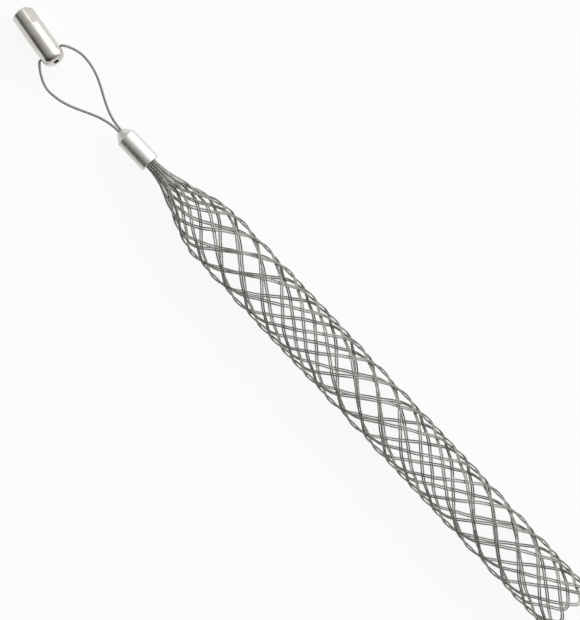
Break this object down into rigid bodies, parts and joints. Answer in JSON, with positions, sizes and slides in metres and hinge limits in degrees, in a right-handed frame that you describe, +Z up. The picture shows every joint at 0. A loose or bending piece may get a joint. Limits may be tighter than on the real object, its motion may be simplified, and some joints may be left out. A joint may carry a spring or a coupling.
{
  "type": "cable pulling grip",
  "caption": "Open-ended woven wire stocking that grips a cable, with a ferrule, a swivelling wire loop and a threaded pull head for a draw rod.",
  "frame": {"origin": "on the ground, below the middle of the whole grip's box", "axes": "+X along the grip towards the pull head, +Y across, +Z up as it lies on its side"},
  "size_m": [0.3266, 0.0248, 0.0242],
  "materials": {
    "head_steel": "satin turned steel",
    "rope_steel": "stranded steel rope",
    "wire_steel": "stranded galvanised steel",
    "ferrule_aluminium": "satin",
    "sleeve_copper": "crimped copper",
    "swivel_brass": "turned"
  },
  "bodies": {
    "stocking": {"mesh_wire_01": "wire_steel", "mesh_wire_02": "wire_steel", "mesh_wire_03": "wire_steel", "mesh_wire_04": "wire_steel", "mesh_wire_05": "wire_steel", "mesh_wire_06": "wire_steel", "mesh_wire_07": "wire_steel", "mesh_wire_08": "wire_steel", "mesh_wire_09": "wire_steel", "mesh_wire_10": "wire_steel", "mesh_wire_11": "wire_steel", "mesh_wire_12": "wire_steel", "mesh_wire_13": "wire_steel", "mesh_wire_14": "wire_steel", "ferrule": "ferrule_aluminium", "bundle_sleeve": "sleeve_copper", "thrust_washer": "swivel_brass"},
    "loop": {"pull_loop": "rope_steel", "loop_stop": "swivel_brass"},
    "head": {"pull_head": "head_steel"}
  },
  "joints": [
    {"name": "loop_swivel", "type": "hinge", "parent": "stocking", "child": "loop", "pos_m": [0.0947, -0.00104, 0.0118], "axis": [1, 0, 0], "continuous": true},
    {"name": "head_pivot", "type": "hinge", "parent": "loop", "child": "head", "pos_m": [0.1415, -0.0021, 0.0118], "axis": [0.1326, 0.9912, 0], "continuous": true}
  ]
}
